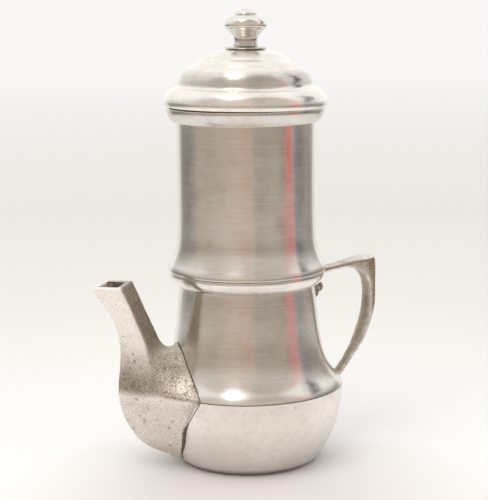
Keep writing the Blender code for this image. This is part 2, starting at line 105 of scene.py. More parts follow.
KNOB_OUTER = (
    (7.4, KNOB_Z, 0.3), (7.2, 250.3), (6.8, 251.1), (6.8, 253.4), (7.5, 255, 0.5), (9.8, 257.6),
    (12.3, 260), (12.8, 261.6), (11.9, 264.2), (9.4, 266.4), (7, 267.1, 0.4),
)
CAP_OUTER = ((6.7, 267.3, 0.2), (6.5, 268.3), (4.6, 270), (2.2, CAP_TOP_Z))

# Prow slices below the girdle: keel (r, z) and the angle at which the flat side leaves the bowl
PROW_BELOW_GIRDLE = (
    (49, 5.6, 9), (59, 10.6, 14), (66.6, 15.4, 18.8), (71.4, 20.2, 22.4),
    (76, 27.2, 26.2), (79.5, 35, 32), (81.6, 43, 37.6),
)
# Spout slices above it: keel (r, z), side ridge (r, half width, z), seam or inner ridge (r, half width, z),
# back (r, z), and the degrees that the back leans; None while the back is inside the pot
SPOUT_UPPER = (
    ((81.9, 47.4), (61, 22, 47.4), (43.9, 36.9, 47.4), (20, 47.4), None),
    ((82, 51), (63.2, 19.6, 51), (43.8, 33.6, 51), (20, 51), None),
    ((81.6, 56), (65, 17.2, 56), (43.4, 26.2, 56), (20, 56), None),
    ((80.7, 64), (66.2, 15.2, 64), (43.8, 16.2, 64), (20, 64), None),
    ((80.2, 71.5), (67.3, 13.9, 71.5), (44.2, 7.6, 71.5), (43, 75.2), 90),
    ((80.2, 73.6), (67.6, 13.6, 73.6), (50.6, 2.6, 72.6), (50.2, 73.2), 80),
    ((80.4, 76.2), (68, 13.2, 76.2), (54.9, 1.4, 75.6), (54.4, 75.9), 50),
    ((80.9, 79.6), (68.9, 12.9, 79.6), (57.2, 1.2, 79.4), (56.6, 79.5), 25),
    ((82.3, 86.4), (71.4, 12.2, 86.6), (60.5, 1, 86.8), (59.7, 86.8), 12),
    ((85.3, 93.6), (74.4, 11.9, 94), (64, 1, 94.4), (63.2, 94.4), 6),
    ((89.6, 101.2), (77.6, 12.4, 101.8), (67.4, 1, 102.6), (66.6, 102.6), 3),
    ((93.6, 106.8), (80.6, 13.2, 107.6), (70, 1, 108.6), (69.2, 108.6), 0),
    ((96.9, 112.4), (83.4, 14.2, 113.4), (72.8, 1, 114.4), (71.9, 114.4), 0),
)
FIRST_OPEN = 4  # the first of them whose back shows
MITRE = 1.42  # wall across a slice's corner, over the wall itself
BORE_START_Z = 12
BORE_SLIVER = 0.6  # half width of the bore where the seam leaves it no room
BORE_EXIT = (-1.3, 0, 3.4)  # the bore's cutter runs on past the mouth by this
SLICE_STEPS = 4  # fine slices between two control slices
EDGE_STEPS = 6  # points along each edge of a slice
FILLET_STEPS = 4  # steps round each fillet of a slice
FILLET_SHARE = 0.45  # most of an edge that a fillet may take
SPOUT_FILLETS = (0.9, 0.8, 0.5, 0.3, 0.5, 0.8)
BORE_FILLET_SCALE = 0.5

# Handle strap: outer side (r, z), inner side (r, z), half width
HANDLE_STATIONS = (
    ((46, 113.6), (46, 109.6), 3.2), ((52, 113.8), (52, 110.7), 3),
    ((58, 114.6), (58.4, 112.1), 3), ((64, 115.8), (64.5, 112.9), 3.6),
    ((70, 116.9), (69.6, 112.2), 4.6), ((76.4, 117.8), (73.2, 110.4), 5.6),
    ((82, 118.3), (76, 107.8), 6.2), ((82.8, 112), (77.9, 104.6), 6.4),
    ((82.8, 104), (79, 100.4), 6.5), ((82.7, 92), (79.3, 91.4), 6.7),
    ((81.4, 84), (78.5, 83.6), 6.9), ((79.3, 76.4), (76.6, 76.8), 6.8),
    ((75.2, 66.6), (73, 67.6), 6.2), ((71.5, 60.6), (69.7, 61.6), 5.4),
    ((67.5, 54.8), (66, 55.9), 4.8), ((62.3, 47.6), (60.9, 49.2), 4.5),
    ((54.5, 38.6), (52.6, 40.6), 4.3),
)
HANDLE_FILLETS, HANDLE_EDGE_STEPS = (0.9,) * 4, 3
STRAP_STEPS = 5  # fine slices between two stations of the strap or the leaf
# Thumb leaf: r, top, half width, thickness
LEAF_STATIONS = (
    (46, 114.4, 5, 1.4), (52, 114.6, 4.3, 1.4), (58, 115.5, 4.1, 1.6), (64, 116.8, 4.6, 1.8),
    (70, 117.9, 5.9, 1.7), (76, 118.6, 7.1, 1.4), (80, 118.9, 6.7, 1.2), (82.8, 119, 4.2, 1),
)
LUG_SECTION = (
    (41, 106), (45.6, 106.2), (48.2, 104.6), (48.4, 100.2), (46.2, 99.2),
    (45.8, 97.4), (44.2, 95.4), (41, 95.8),
)
# Slices across the lug: distance from its middle plane, size of the section there
LUG_SLICES = ((-3, 0.9), (-2.6, 1), (-1.3, 1), (0, 1), (1.3, 1), (2.6, 1), (3, 0.9))
RIVET_Z = 102


# ---- mesh helpers

def bezier(a, b, c, t):
    """Point on a quadratic curve."""
    return a.lerp(b, t).lerp(b.lerp(c, t), t)


def cut_corner(points, i, fillet, share):
    """Where the rounding of a corner starts, the corner, and where the rounding ends."""
    corner = points[i]
    before, after = points[i - 1] - corner, points[(i + 1) % len(points)] - corner
    return (corner + before.normalized() * min(fillet, before.length * share), corner,
            corner + after.normalized() * min(fillet, after.length * share))


def soften(points, closed):
    """Round a (r, z) outline. A point with a third value keeps a crisp corner of that size."""
    pts = [Vector(p[:2]) for p in points]
    out = []
    for i, point in enumerate(pts):
        if not closed and i in (0, len(pts) - 1):
            out.append(point)
            continue
        arc = cut_corner(pts, i, points[i][2] if len(points[i]) > 2 else math.inf, 0.5)
        out.extend(bezier(*arc, k / CORNER_STEPS) for k in range(CORNER_STEPS))
    return [p for i, p in enumerate(out) if i == 0 or (p - out[i - 1]).length > 1e-4]


def shade_by_angle(mesh, degrees):
    """Smooth shading, but sharp at edges steeper than an angle."""
    mesh.shade_smooth()
    mesh.set_sharp_from_angle(angle=math.radians(degrees))


def finish_mesh(name, bm, smooth_angle=SHEET_SMOOTH):
    """Make a shaded object from a bmesh in millimetres."""
    bmesh.ops.recalc_face_normals(bm, faces=bm.faces)
    bmesh.ops.scale(bm, vec=(MM, MM, MM), verts=bm.verts)
    mesh = bpy.data.meshes.new(name)
    bm.to_mesh(mesh)
    bm.free()
    obj = bpy.data.objects.new(name, mesh)
    bpy.context.scene.collection.objects.link(obj)
    shade_by_angle(mesh, smooth_angle)
    return obj


def turned(name, outline, closed=True, turns=TURNS, offset=None):
    """Turn an outline about Z. offset(angle, r, z) gives a small radial departure from round.

    A closed outline is a ring's section; an open one starts and ends on the axis.
    """
    section = soften(outline, closed)
    bm = bmesh.new()
    rings = []
    for point in section:
        if point.x < TINY:
            rings.append([bm.verts.new((0, 0, point.y))])
            continue
        ring = []
        for k in range(turns):
            angle = 2 * math.pi * k / turns
            r = point.x + (offset(angle, point.x, point.y) if offset else 0)
            ring.append(bm.verts.new((r * math.cos(angle), r * math.sin(angle), point.y)))
        rings.append(ring)
    pairs = list(zip(rings, rings[1:]))
    if closed:
        pairs.append((rings[-1], rings[0]))
    for a, b in pairs:
        for k in range(turns):
            j = (k + 1) % turns
            corners = [a[k % len(a)], a[j % len(a)], b[j % len(b)], b[k % len(b)]]
            bm.faces.new(list(dict.fromkeys(corners)))
    return finish_mesh(name, bm)


def loft(name, rings, smooth_angle=SHEET_SMOOTH):
    """Skin equal rings of points with quads and close both ends."""
    bm = bmesh.new()
    loops = [[bm.verts.new(p) for p in ring] for ring in rings]
    for a, b in zip(loops, loops[1:]):
        count = len(a)
        for i in range(count):
            j = (i + 1) % count
            bm.faces.new((a[i], a[j], b[j], b[i]))
    bm.faces.new(loops[0][::-1])
    bm.faces.new(loops[-1])
    return finish_mesh(name, bm, smooth_angle)


def tube(name, path, radii, sides=10):
    """Round tube through points."""
    rings = []
    for i, point in enumerate(path):
        along = (path[min(i + 1, len(path) - 1)] - path[max(i - 1, 0)]).normalized()
        reference = Vector((0, 0, 1)) if abs(along.z) < 0.9 else Vector((1, 0, 0))
        across = along.cross(reference).normalized()
        other = along.cross(across)
        turns = [2 * math.pi * k / sides for k in range(sides)]
        rings.append([point + (across * math.cos(a) + other * math.sin(a)) * radii[i] for a in turns])
    return loft(name, rings)


def apply_booleans(obj, *steps, smooth_angle=SHEET_SMOOTH):
    """Apply exact booleans for good, each a (tool, operation); the tools stay in the scene."""
    for tool, operation in steps:
        mod = obj.modifiers.new("cut", "BOOLEAN")
        mod.operation = operation
        mod.solver = "EXACT"
        mod.object = tool
    graph = bpy.context.evaluated_depsgraph_get()
    graph.update()
    mesh = bpy.data.meshes.new_from_object(obj.evaluated_get(graph))
    obj.modifiers.clear()
    obj.data = mesh
    shade_by_angle(mesh, smooth_angle)


def discard(*objs):
    """Remove helper shapes."""
    for obj in objs:
        bpy.data.objects.remove(obj, do_unlink=True)


def curve_through(values, steps):
    """Smooth (Catmull-Rom) run of rows through equal-length rows of numbers."""
    rows = [Vector(v) for v in values]
    out = []
    for i in range(len(rows) - 1):
        p0, p1, p2, p3 = rows[max(i - 1, 0)], rows[i], rows[i + 1], rows[min(i + 2, len(rows) - 1)]
        for k in range(steps):
            t = k / steps
            out.append(0.5 * ((2 * p1) + (p2 - p0) * t + (2 * p0 - 5 * p1 + 4 * p2 - p3) * t * t
                              + (3 * p1 - p0 - 3 * p2 + p3) * t * t * t))
    out.append(rows[-1])
    return out


def read_line(line, at, beyond):
    """Value at a place on a run of (place, value) pairs, or beyond where the run doesn't reach it."""
    for (a, low), (b, high) in zip(line, line[1:]):
        if a <= at <= b:
            return low + (high - low) * (at - a) / max(b - a, TINY)
    return beyond


def ramp(value, start, full):
    """0 up to start, 1 from full on and straight between; full may be the smaller of the two."""
    return min(1, max(0, (value - start) / (full - start)))


def roughen(obj, amplitude, scale, seed):
    """Move each vertex a little along its normal by smooth noise; sizes in millimetres."""
    mesh = obj.data
    normals = [v.normal.copy() for v in mesh.vertices]
    shift = Vector((seed, seed * 1.7, -seed))
    for vert, normal in zip(mesh.vertices, normals):
        vert.co += normal * (noise.noise(vert.co / MM / scale + shift) * amplitude * MM)
    mesh.update()


# ---- materials

CELL_WARP, CELL_WARP_SCALE = 0.5, 2.2


class Nodes:
    """Short-hand for building a node material."""

    def __init__(self, name):
        self.material = bpy.data.materials.new(name)
        self.material.use_nodes = True
        self.tree = self.material.node_tree
        self.shader = self.tree.nodes["Principled BSDF"]
        self.place = self.add("ShaderNodeTexCoord").outputs["Object"]

    def feed(self, node, inputs):
        """Set inputs of a node, by name or number: link a socket, store anything else."""
        for key, value in inputs.items():
            if isinstance(value, bpy.types.NodeSocket):
                self.tree.links.new(value, node.inputs[key])
            else:
                node.inputs[key].default_value = value

    def add(self, kind, inputs=None, **settings):
        """New node with its settings and inputs."""
        node = self.tree.nodes.new(kind)
        for key, value in settings.items():
            setattr(node, key, value)
        self.feed(node, inputs or {})
        return node

    def scaled(self, scale):
        """Object coordinates times a scale."""
        return self.add("ShaderNodeMapping", {"Vector": self.place, "Scale": scale}).outputs["Vector"]

    def noise(self, around, along, detail=4, roughness=0.55, distortion=0):
        """Noise with so many features per metre round the pot's axis and along it."""
        return self.add("ShaderNodeTexNoise", {
            "Vector": self.scaled((around, around, along)), "Scale": 1, "Detail": detail,
            "Roughness": roughness, "Distortion": distortion}).outputs["Fac"]

    def cells(self, scale):
        """Distance to the nearest of scattered points, bent a little."""
        place = self.scaled((scale,) * 3)
        warp = self.add("ShaderNodeTexNoise", {"Vector": place, "Scale": CELL_WARP_SCALE}).outputs["Color"]
        bent = self.add("ShaderNodeVectorMath", {0: warp, 1: (CELL_WARP,) * 3, 2: place},
                        operation="MULTIPLY_ADD").outputs["Vector"]
        return self.add("ShaderNodeTexVoronoi", {"Vector": bent, "Scale": 1}).outputs["Distance"]

    def span(self, value, low, high, to_low=0, to_high=1):
        """Map a range of values to another, clamped."""
        return self.add("ShaderNodeMapRange", {
            "Value": value, "From Min": low, "From Max": high, "To Min": to_low, "To Max": to_high,
        }).outputs["Result"]

    def by_height(self, low, high, to_low, to_high):
        """The same for heights in millimetres above the table."""
        height = self.add("ShaderNodeSeparateXYZ", {"Vector": self.place}).outputs["Z"]
        return self.span(height, low * MM, high * MM, to_low, to_high)

    def math(self, operation, a, b):
        """Arithmetic on sockets or numbers."""
        return self.add("ShaderNodeMath", {0: a, 1: b}, operation=operation).outputs[0]

    def times(self, a, b):
        """Product of two sockets or numbers."""
        return self.math("MULTIPLY", a, b)

    def attribute(self, name, output="Fac"):
        """What the mesh stores per vertex."""
        return self.add("ShaderNodeAttribute", attribute_name=name).outputs[output]

    def mix(self, factor, a, b):
        """Mix two colours, each a socket or a tuple."""
        a, b = ((*c, 1) if isinstance(c, tuple) else c for c in (a, b))
        return self.add("ShaderNodeMix", {"Factor": factor, 6: a, 7: b}, data_type="RGBA").outputs[2]

    def bump(self, height, strength, distance, **under):
        """Bump, its distance in millimetres, over the Normal that is given."""
        inputs = {"Height": height, "Strength": strength, "Distance": distance * MM, **under}
        return self.add("ShaderNodeBump", inputs).outputs["Normal"]

    def finish(self, colour, roughness, others):
        """Feed the shader and give the material."""
        self.feed(self.shader, {"Base Color": colour, "Roughness": roughness, **others})
        return self.material


def scale(values, factor):
    """Numbers times a factor, such as a colour made darker."""
    return tuple(v * factor for v in values)


BRIGHT = (0.86, 0.832, 0.783)
PALE = (0.9, 0.875, 0.84)
WARM = (0.8, 0.754, 0.688)
DULL = (0.7, 0.66, 0.61)
# colour of the bands of painted shade and dark reflection
SHADE_BAND_TONE = (0.2, 0.17, 0.135)
LOW_SHADE_Z = (6, 34)  # painted shade on the bowl's lower part, mottled like scuffs, reaches up to the second, strongest up to the first
CONTACT_SHADOW_Z = (0.8, 4.2)  # and a painted contact shadow in the same way where it meets the table
CONTACT_SHADOW_TONE = (0.22, 0.17, 0.14)


def spun_metal(name, bright, dull, rough, spread=0.05, anisotropy=0.7, stain=0.5, wave=0.2, shade_band=None):
    """Spun aluminium: fine rings round the axis, faint stains, handling marks.

    shade_band is a band of painted shade and dark reflection: (height where it starts, full from, full to,
    gone, strength).
    """
    n = Nodes(name)
    rings = n.noise(40, 2400, detail=3, roughness=0.7)
    broad = n.noise(22, 9, detail=5, roughness=0.6, distortion=0.6)
    blotch = n.noise(110, 80, detail=6, roughness=0.68)
    nicks = n.noise(850, 1500, detail=2, roughness=0.5)
    scores = n.noise(170, 3800, detail=1)
    bands = n.noise(70, 1500, detail=5, roughness=0.75)
    patch = n.math("ADD", n.span(blotch, 0.46, 0.66, 0, 0.18), n.span(bands, 0.44, 0.66, 0, 0.28))
    speck = n.math("MAXIMUM", n.span(nicks, 0.68, 0.78, 0, 0.32), n.span(scores, 0.72, 0.8, 0, 0.3))
    skin = n.mix(n.span(broad, 0.35, 0.72, 0, stain), bright, dull)
    skin = n.mix(patch, skin, scale(dull, 0.8))
    skin = n.mix(speck, skin, scale(dull, 0.55))
    # painted shade and dark reflection in a band of heights, a little blotchy
    if shade_band is not None:
        start, full, fade, gone, strength = shade_band
        band = n.times(n.by_height(start, full, 0, 1), n.by_height(fade, gone, strength, 0))
        skin = n.mix(n.times(band, n.span(blotch, 0.3, 0.6, 0.75, 1)), skin, SHADE_BAND_TONE)
    worn = n.math("ADD", n.span(blotch, 0.35, 0.75, rough - spread, rough + spread),
                  n.span(rings, 0.35, 0.7, -0.02, 0.03))
    pocks = n.bump(blotch, 0.1, 0.1, Normal=n.bump(rings, 0.17, 0.05))
    return n.finish(skin, worn, {
        "Metallic": 1, "Anisotropic": anisotropy, "Anisotropic Rotation": 0.25,
        "Tangent": n.add("ShaderNodeTangent", direction_type="RADIAL", axis="Z").outputs["Tangent"],
        "Normal": n.bump(broad, wave, 0.5, Normal=pocks)})


def satin_metal(name, bright, dull, rough, foot_shade=0):
    """Drawn aluminium with a dull satin skin, spots and light scuffs.

    foot_shade is how much painted shade, mottled like scuffs, the lowest part gets, and how dark the
    painted contact shadow at its foot is.
    """
    n = Nodes(name)
    cloud = n.noise(30, 40, detail=6, roughness=0.62)
    mottle = n.noise(170, 210, detail=6, roughness=0.72)
    grain = n.noise(1400, 1400, detail=2)
    scuff = n.noise(300, 1500, detail=3, roughness=0.7)
    tint = n.mix(n.span(cloud, 0.35, 0.7), bright, dull)
    tint = n.mix(n.span(mottle, 0.48, 0.72, 0, 0.5), tint, scale(dull, 0.8))
    # painted shade on the lower bowl, then a painted contact shadow at its foot
    low = n.times(n.by_height(*LOW_SHADE_Z, foot_shade, 0), n.span(cloud, 0.25, 0.6, 0.8, 1))
    tint = n.mix(low, tint, scale(dull, 0.6))
    tint = n.mix(n.by_height(*CONTACT_SHADOW_Z, 1.4 * foot_shade, 0), tint, CONTACT_SHADOW_TONE)
    spots = n.times(n.span(n.cells(260), 0.05, 0.15, 0.7, 0), n.span(cloud, 0.48, 0.58))
    tint = n.mix(spots, tint, scale(dull, 0.45))
    worn = n.math("ADD", n.span(scuff, 0.35, 0.7, rough - 0.05, rough + 0.07),
                  n.span(cloud, 0.3, 0.7, -0.03, 0.04))
    rub = n.bump(scuff, 0.1, 0.08, Normal=n.bump(grain, 0.12, 0.06))
    return n.finish(tint, worn, {"Metallic": 1, "Normal": n.bump(mottle, 0.16, 0.12, Normal=rub)})


def cast_metal(name, bright, dark, stain, rough, soot_shade, flecks, film=0):
    """Sand-cast aluminium: grainy, pitted, grimy in the pits and worn bright on its edges.

    The mesh marks where it is: soot_shade is the colour under GrimeShade, which marks grimy places and
    painted shade together, flecks that of the dots under Fleck, and Wear is rubbed bright. film is how far
    the metal between the dots is tinted too.
    """
    n = Nodes(name)
    grime_shade, fleck, wear = n.attribute("GrimeShade"), n.attribute("Fleck"), n.attribute("Wear")
    grain = n.noise(1100, 1100, detail=4, roughness=0.7)
    lumps = n.noise(260, 260, detail=5, roughness=0.65)
    patches = n.noise(45, 45, detail=5, roughness=0.6, distortion=0.4)
    speckle = n.noise(1250, 1250, detail=2, roughness=0.5)
    pits, craters = n.cells(430), n.cells(150)
    edge = n.span(n.add("ShaderNodeNewGeometry").outputs["Pointiness"], 0.515, 0.56, 0, 1)
    pit = n.times(n.span(pits, 0.12, 0.3, 1, 0), n.span(lumps, 0.49, 0.6))
    pit = n.times(pit, n.span(patches, 0.4, 0.54, 0.25, 1))
    rim = n.math("SUBTRACT", n.span(craters, 0.13, 0.23, 1, 0), n.span(craters, 0.04, 0.13, 0.75, 0))
    rim = n.times(rim, n.span(patches, 0.44, 0.54))
    hollow = n.times(n.math("MAXIMUM", pit, rim), 0.85)
    skin = n.mix(n.span(grain, 0.35, 0.68), dark, bright)
    skin = n.mix(n.span(patches, 0.5, 0.74, 0, 0.75), skin, stain)
    # colour of grimy places and of painted shade
    sooty_shade = n.mix(n.span(grain, 0.42, 0.6), scale(soot_shade, 0.62), scale(soot_shade, 1.35))
    skin = n.mix(n.times(grime_shade, n.span(patches, 0.3, 0.62, 0.85, 1)), skin, sooty_shade)
    skin = n.mix(n.times(fleck, film), skin, scale(flecks, 2.6))
    skin = n.mix(n.times(fleck, n.span(speckle, 0.51, 0.59, 0, 0.85)), skin, flecks)
    skin = n.mix(hollow, skin, scale(stain, 0.42))
    rubbed = n.times(wear, n.span(lumps, 0.4, 0.56, 0.25, 1))
    faint = n.times(edge, n.span(grime_shade, 0.3, 0.9, 0.6, 0.1))
    skin = n.mix(n.math("MAXIMUM", rubbed, faint), skin, tuple(min(1, c * 1.2) for c in bright))
    dry = n.math("SUBTRACT", n.span(lumps, 0.3, 0.7, rough - 0.06, rough + 0.1), n.times(edge, 0.14))
    dry = n.math("ADD", dry, n.times(grime_shade, 0.22))
    dry = n.math("SUBTRACT", dry, n.times(fleck, 0.08))
    relief = n.math("SUBTRACT", n.math("ADD", n.times(grain, 0.45), lumps), hollow)
    return n.finish(skin, dry, {"Metallic": 1, "Normal": n.bump(relief, 0.6, 0.4)})


def dark_film(name, dark, brown):
    """A dark crusty film: the lug's burnt-on crust, and in the spout's seam a grimy filling that also
    stands for painted shade in the gap.
    """
    n = Nodes(name)
    crust = n.noise(700, 700, detail=4, roughness=0.7)
    tint = n.mix(n.span(crust, 0.4, 0.68), dark, brown)
    return n.finish(tint, n.span(crust, 0.3, 0.7, 0.65, 0.9), {"Normal": n.bump(crust, 0.6, 0.3)})


def make_materials():
    """One procedural material for each kind of surface."""
    return {
        "bowl": satin_metal("bowl_satin", (0.985, 0.955, 0.925), (0.91, 0.87, 0.83), 0.5, foot_shade=0.55),
        "shoulder": spun_metal("shoulder_spun", BRIGHT, WARM, 0.25, spread=0.04, anisotropy=0.8),
        # the collar's band is painted shade under its bead, with some grimy tone
        "collar": spun_metal("collar_spun", PALE, WARM, 0.25, stain=0.4,
                             shade_band=(100, 101, 108.6, 111, 0.75)),
        "chamber": spun_metal("chamber_spun", BRIGHT, WARM, 0.23, spread=0.04, anisotropy=0.9),
        "rim": spun_metal("rim_spun", (0.8, 0.775, 0.735), (0.66, 0.61, 0.55), 0.26, stain=0.4),
        # the lid's band is a painted reflection of the dark room round the pot
        "lid": spun_metal("lid_spun", (0.98, 0.955, 0.9), (0.8, 0.75, 0.68), 0.27, stain=0.4, wave=0.18,
                          shade_band=(226.6, 228, 232.5, 237, 0.4)),
        # the knob's band is painted shade at its foot and at its neck under the head
        "knob": spun_metal("knob_turned", PALE, (0.74, 0.68, 0.6), 0.22, anisotropy=0.3, wave=0.1,
                           shade_band=(240, 241, 251.5, 255, 0.3)),
        "washer": spun_metal("washer_turned", (0.8, 0.77, 0.72), (0.6, 0.55, 0.48), 0.34, anisotropy=0.3,
                             wave=0.05),
        "inner": spun_metal("inner_spun", (0.8, 0.78, 0.75), DULL, 0.33, anisotropy=0.3),
        "plate": satin_metal("plate_satin", (0.78, 0.76, 0.73), DULL, 0.4),
        "screw": satin_metal("screw_dull", (0.58, 0.56, 0.53), (0.42, 0.39, 0.35), 0.42),
        "spout": cast_metal("spout_cast", (1, 0.945, 0.9), (0.8, 0.735, 0.685), (0.62, 0.52, 0.44),
                            0.42, soot_shade=(0.41, 0.35, 0.28), flecks=(0.27, 0.215, 0.095)),
        "handle": cast_metal("handle_cast", (0.96, 0.925, 0.885), (0.74, 0.68, 0.62), (0.5, 0.4, 0.31),
                             0.4, soot_shade=(0.36, 0.305, 0.245), flecks=(0.17, 0.125, 0.062), film=0.45),
        "lug": dark_film("lug_crust", (0.045, 0.034, 0.026), (0.66, 0.57, 0.47)),
        "soot_shade": dark_film("seam_soot_shade", (0.05, 0.04, 0.028), (0.17, 0.13, 0.08)),
    }


# ---- serving pot

def facing(psi):
    """World angle of a direction psi degrees to the right of the camera, seen from the pot."""
    return CAMERA_AZIMUTH - math.pi / 2 + math.radians(psi)


WAVES_ROUND, WAVE_TALL = 1.6, 45
# Dents: direction, height, depth, degrees across, millimetres tall
COLLAR_DENTS = ((-47, 112.5, 0.6, 7, 3.6), (38, 111, 0.4, 9, 3))
CHAMBER_DENTS = ((33, 150, 0.3, 8, 16), (-20, 188, 0.25, 7, 9))


def direction(psi, lift):
    """Unit vector from the pot to a direction psi degrees to the camera's right, lift degrees up."""
    angle, lift = facing(psi), math.radians(lift)
    return Vector((math.cos(angle) * math.cos(lift), math.sin(angle) * math.cos(lift), math.sin(lift)))


def dent(angle, z, psi, height, depth, across, tall):
    """How far a smooth dent moves a place on a turned piece."""
    away = (angle - facing(psi) + math.pi) % (2 * math.pi) - math.pi
    return -depth * math.exp(-(away / math.radians(across)) ** 2 - ((z - height) / tall) ** 2)


def hand_made(amount, seed, dents=()):
    """Small departures from round, for turned(): slow waves and dents."""
    def offset(angle, r, z):
        place = Vector((math.cos(angle) * WAVES_ROUND, math.sin(angle) * WAVES_ROUND, z / WAVE_TALL + seed))
        return noise.noise(place) * amount + sum(dent(angle, z, *d) for d in dents)
    return offset


def shrink(section, wall):
    """Inner side of a wall, from the last point back to the first."""
    return [(p[0] - wall, p[1]) for p in section][::-1]


def grown(section):
    """Outline moved out by the gap that is left to the next piece."""
    return [(p[0] + GAP, *p[1:]) for p in section]


def coat(obj, material):
    """Give a piece its only material."""
    obj.data.materials.clear()
    obj.data.materials.append(material)


def keep(obj, material, body, slot, *nodes):
    """Give a piece its material and body and hide the CAD nodes that it stands for; slot is not used."""
    coat(obj, material)
    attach(obj, body)
    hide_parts(*nodes)


POT_LINE = [(p.y, p.x) for p in soften([*BOWL_OUTER, *SHOULDER_OUTER, (NECK_R, 112)], closed=False)]
LEAF_LINE = [(r, top - thick) for r, top, half, thick in LEAF_STATIONS]


def bowl_radius(z):
    """Outer radius of the bowl, shoulder and neck at a height, on the softened outline."""
    return read_line(POT_LINE, z, NECK_R)


def spout_controls():
    """Every control slice: keel r, z; side r, half, z; seam r, half, z; back r, z; lean; open or not."""
    rows = []
    for keel, z, degrees in PROW_BELOW_GIRDLE:
        turn = math.radians(degrees)
        seam = (bowl_radius(z) * math.cos(turn), bowl_radius(z) * math.sin(turn))
        rows.append((keel, z, (keel + seam[0]) / 2, seam[1] / 2, z, *seam, z, 20, z, 0, 0))
    for keel, side, seam, back, lean in SPOUT_UPPER:
        rows.append((*keel, *side, *seam, *back, lean or 0, 0 if lean is None else 1))
    return rows


def fine_slices():
    """Fine slices; the closed lower run and the open upper run aren't blended."""
    rows = spout_controls()
    first = len(PROW_BELOW_GIRDLE) + FIRST_OPEN
    return curve_through(rows[:first], SLICE_STEPS) + curve_through(rows[first:], SLICE_STEPS)


def rounded_slice(corners, fillets, edge_steps=EDGE_STEPS):
    """Ring of points through corners, each rounded by its fillet, with points along each edge."""
    arcs = [cut_corner(corners, i, fillet, FILLET_SHARE) for i, fillet in enumerate(fillets)]
    ring = []
    for arc, following in zip(arcs, arcs[1:] + arcs[:1]):
        ring.extend(bezier(*arc, k / FILLET_STEPS) for k in range(FILLET_STEPS + 1))
        ring.extend(arc[2].lerp(following[0], k / edge_steps) for k in range(1, edge_steps))
    return ring


def spout_rings(rows, wall):
    """Rings of the casting's outside, or of its bore when a wall is given."""
    diagonal = wall * MITRE
    rings = []
    for kr, kz, sr, sh, sz, qr, qh, qz, br, bz, lean, free in rows:
        if wall and kz < BORE_START_Z:
            continue
        inset = min(diagonal, qh - BORE_SLIVER) if wall else 0
        turn = math.radians(lean)
        step = diagonal * math.cos(turn) if free else -inset
        drop = diagonal * math.sin(turn) if free else 0
        back = (br + step, bz - drop) if free else (br, bz)
        ridge, seam = (-sr, sh - diagonal, sz), (-(qr + step), qh - inset, qz - drop)
        corners = [Vector((-(kr - diagonal), 0, kz)), *(Vector((x, -y, z)) for x, y, z in (ridge, seam)),
                   Vector((-back[0], 0, back[1])), Vector(seam), Vector(ridge)]
        rings.append(rounded_slice(corners, scale(SPOUT_FILLETS, BORE_FILLET_SCALE if wall else 1)))
    if wall:
        rings.append([p + Vector(BORE_EXIT) for p in rings[-1]])
    return rings


# The spout's seam: half width where it is closed, what it gapes by low on the bowl, where and how far
SEAM_HALF, SEAM_GAPE, GAPE_Z, GAPE_REACH = 0.24, 0.86, 21.5, 9.5
SEAM_STEPS, SEAM_PROUD, SEAM_WANDER = 6, 0.05, 0.16
SEAM_SHIFT = 0.6  # share of its extra width by which it moves away from the spout


def seam_width(z):
    """Half width of the seam at a height."""
    return SEAM_HALF + SEAM_GAPE * math.exp(-((z - GAPE_Z) / GAPE_REACH) ** 4)


def seam_path(side):
    """Line on the pot where the casting ends, from the neck down to the keel's foot."""
    points = [(SPOUT_UPPER[FIRST_OPEN][3][1] + 0.2, 0)]
    points += [(seam[2], math.atan2(seam[1], seam[0])) for _, _, seam, *_ in SPOUT_UPPER[FIRST_OPEN::-1]]
    points += [(z, math.radians(degrees)) for _, z, degrees in PROW_BELOW_GIRDLE[::-1]]
    path = []
    for z, turn in curve_through(points, SEAM_STEPS):
        r = bowl_radius(z) + SEAM_PROUD
        wander = SEAM_WANDER * noise.noise(Vector((z * 0.7, side * 4, 0)))
        shift = SEAM_SHIFT * (seam_width(z) - seam_width(GIRDLE_Z)) + wander
        path.append(Vector((-r * math.cos(turn), side * (r * math.sin(turn) + shift), z + wander)))
    return path


def mark(obj, name, values):
    """Store one number per vertex for the materials to read."""
    layer = obj.data.attributes.new(name, "FLOAT", "POINT")
    layer.data.foreach_set("value", values)


# Soiling, painted shade and a painted reflection on the spout. Each pair says where a mark begins to show
# and where it is full: heights, or distances from the pot's wall for the last two.
RIDGE_LEAN = 0.62  # how the side ridge goes on above the last control slice
FLAT_EDGE, WEB_EDGE = 0.7, 3.2  # softness of the painted shade's edge along a flat, and what the web adds
WEB_EDGE_LOW, WEB_EDGE_HIGH, WEB_HIGH = (54, 60), (78, 70), (80, 66)
# painted dark reflection across the cheeks: where it starts and is full at its foot and top, the bow of its
# lower edge and the bow's centre
REFLECTION_LOW, REFLECTION_HIGH = (46, 50.5), (73, 56)
REFLECTION_BOW, REFLECTION_CENTRE = 0.01, -74
UNDER_GIRDLE, BRINK_LOW = (47, 42), (64, 72)
BRINK_REACH = 1.6  # of the dots on each side of the ridge
WEB_REACH, SEAM_REACH = (27, 18), (1.3, 0.3)


